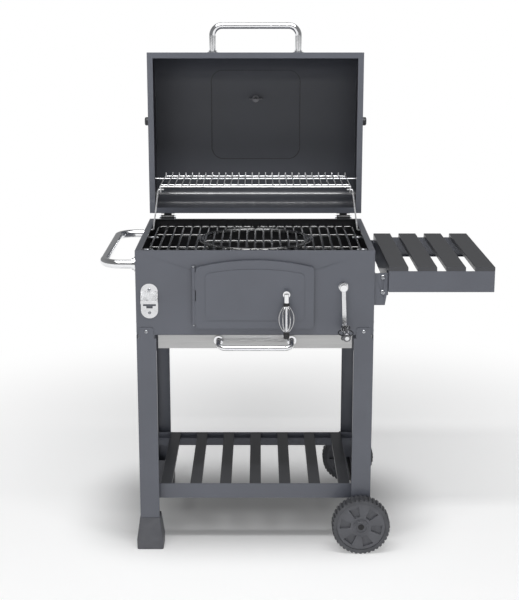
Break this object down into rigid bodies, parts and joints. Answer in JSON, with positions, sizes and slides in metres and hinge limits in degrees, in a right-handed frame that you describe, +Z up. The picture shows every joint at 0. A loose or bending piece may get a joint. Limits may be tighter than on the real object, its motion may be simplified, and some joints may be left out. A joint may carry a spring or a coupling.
{
  "type": "charcoal grill trolley",
  "caption": "Charcoal grill trolley with a hinged hood, fire door, crank-lifted charcoal tray, ash drawer, warming rack, side table and shelf.",
  "frame": {"origin": "centre of the whole object's footprint box, on the ground", "axes": "+Z up, front towards -Y, side table towards +X"},
  "size_m": [0.996, 0.847, 1.3425],
  "materials": {
    "grey_powder_coat": "satin powder coat",
    "black_enamel": "gloss enamel",
    "grey_plastic": "moulded, fine texture",
    "chrome": "polished",
    "bright_steel": "brushed",
    "zinc_steel": "zinc plated",
    "dark_metal": "satin",
    "black_wire": "gloss black"
  },
  "bodies": {
    "door": {"fire_door": "grey_powder_coat"},
    "stand": {"firebox_front": "grey_powder_coat", "firebox_back": "grey_powder_coat", "firebox_side_right": "grey_powder_coat", "firebox_side_left": "grey_powder_coat", "firebox_floor": "black_enamel", "leg_front_left": "grey_powder_coat", "leg_rear_left": "grey_powder_coat", "leg_front_right": "grey_powder_coat", "leg_rear_right": "grey_powder_coat", "foot_front_left": "grey_plastic", "foot_rear_left": "grey_plastic", "wheel_axle": "zinc_steel", "shelf_front_rail": "grey_powder_coat", "shelf_rear_rail": "grey_powder_coat", "shelf_slats": "grey_powder_coat", "side_handle": "chrome", "bottle_opener": "chrome", "lift_bearings": "zinc_steel", "drawer_runners": "zinc_steel", "cooking_grate_right": "black_enamel", "cooking_grate_left": "black_enamel", "grate_studs": "zinc_steel", "hood_hinge_brackets": "dark_metal", "hinge_pins": "chrome", "table_aprons": "grey_powder_coat", "table_ends": "grey_powder_coat", "table_slats": "grey_powder_coat", "table_box_brackets": "grey_powder_coat", "table_tongues": "grey_powder_coat", "body_screws": "dark_metal"},
    "wheel_front": {"tyre_front": "grey_plastic", "hub_front": "grey_plastic"},
    "wheel_rear": {"tyre_rear": "grey_plastic", "hub_rear": "grey_plastic"},
    "latch": {"latch_grip": "black_wire", "latch_tip": "chrome", "latch_spindle": "dark_metal"},
    "crank": {"crank_shaft": "dark_metal", "crank_arm": "chrome", "lift_arms_driven": "zinc_steel"},
    "crank_grip": {"crank_grip_cage": "black_wire", "crank_grip_cap": "chrome"},
    "idle_arms": {"lift_arms_idle": "zinc_steel"},
    "tray": {"charcoal_tray": "bright_steel", "fire_grate": "black_enamel"},
    "drawer": {"drawer_front": "bright_steel", "drawer_body": "bright_steel", "drawer_handle": "chrome"},
    "insert": {"grate_insert": "black_enamel"},
    "lid": {"hood_shell": "grey_powder_coat", "hood_end_right": "grey_powder_coat", "hood_end_left": "grey_powder_coat", "hood_handle": "chrome", "thermometer": "bright_steel", "hood_hinge_leaves": "dark_metal"},
    "vent_right": {"vent_right": "dark_metal"},
    "vent_left": {"vent_left": "dark_metal"},
    "rack": {"warming_rack": "chrome"},
    "struts": {"rack_struts": "chrome"}
  },
  "joints": [
    {"name": "hood_hinge", "type": "hinge", "parent": "stand", "child": "lid", "pos_m": [-0.103, 0.1565, 0.8], "axis": [-1, 0, 0], "range_deg": [-90, 0]},
    {"name": "rack_pivot", "type": "hinge", "parent": "lid", "child": "rack", "pos_m": [-0.103, 0.1765, 0.908], "axis": [-1, 0, 0], "range_deg": [0, 90]},
    {"name": "strut_pivot", "type": "hinge", "parent": "stand", "child": "struts", "pos_m": [-0.103, 0.0065, 0.791], "axis": [-1, 0, 0], "range_deg": [-90, 0]},
    {"name": "vent_left_turn", "type": "hinge", "parent": "lid", "child": "vent_left", "pos_m": [-0.103, 0.2615, 1.062], "axis": [1, 0, 0], "range_deg": [0, 60]},
    {"name": "vent_right_turn", "type": "hinge", "parent": "lid", "child": "vent_right", "pos_m": [-0.103, 0.2615, 1.062], "axis": [1, 0, 0], "range_deg": [0, 60]},
    {"name": "door_hinge", "type": "hinge", "parent": "stand", "child": "door", "pos_m": [-0.257, -0.3185, 0.68], "axis": [0, 0, -1], "range_deg": [0, 110]},
    {"name": "latch_turn", "type": "hinge", "parent": "door", "child": "latch", "pos_m": [-0.0245, -0.3515, 0.6935], "axis": [0, 1, 0], "range_deg": [-90, 0]},
    {"name": "crank_turn", "type": "hinge", "parent": "stand", "child": "crank", "pos_m": [0.1183, -0.3115, 0.7068], "axis": [0, 1, 0], "range_deg": [0, 100]},
    {"name": "crank_grip_spin", "type": "hinge", "parent": "crank", "child": "crank_grip", "pos_m": [0.1223, -0.3715, 0.6008], "axis": [0, 1, 0], "continuous": true},
    {"name": "idle_arm_pivot", "type": "hinge", "parent": "stand", "child": "idle_arms", "pos_m": [-0.24716, -0.2815, 0.7068], "axis": [0, 1, 0], "range_deg": [0, 100]},
    {"name": "tray_pivot", "type": "hinge", "parent": "crank", "child": "tray", "pos_m": [0.07973, -0.2815, 0.66084], "axis": [0, 1, 0], "range_deg": [-100, 0]},
    {"name": "drawer_slide", "type": "slide", "parent": "stand", "child": "drawer", "axis": [0, -1, 0], "range_m": [0, 0.3]},
    {"name": "insert_lift", "type": "slide", "parent": "stand", "child": "insert", "axis": [0, 0, 1], "range_m": [0, 0.08]},
    {"name": "wheel_front_spin", "type": "hinge", "parent": "stand", "child": "wheel_front", "pos_m": [0.1715, -0.3355, 0.075], "axis": [0, 1, 0], "continuous": true},
    {"name": "wheel_rear_spin", "type": "hinge", "parent": "stand", "child": "wheel_rear", "pos_m": [0.1715, 0.1685, 0.075], "axis": [0, 1, 0], "continuous": true}
  ],
  "couplings": [
    {"joint": "rack_pivot", "follows": "hood_hinge", "ratio": -1},
    {"joint": "strut_pivot", "follows": "hood_hinge", "ratio": 1},
    {"joint": "idle_arm_pivot", "follows": "crank_turn", "ratio": 1},
    {"joint": "tray_pivot", "follows": "crank_turn", "ratio": -1}
  ]
}
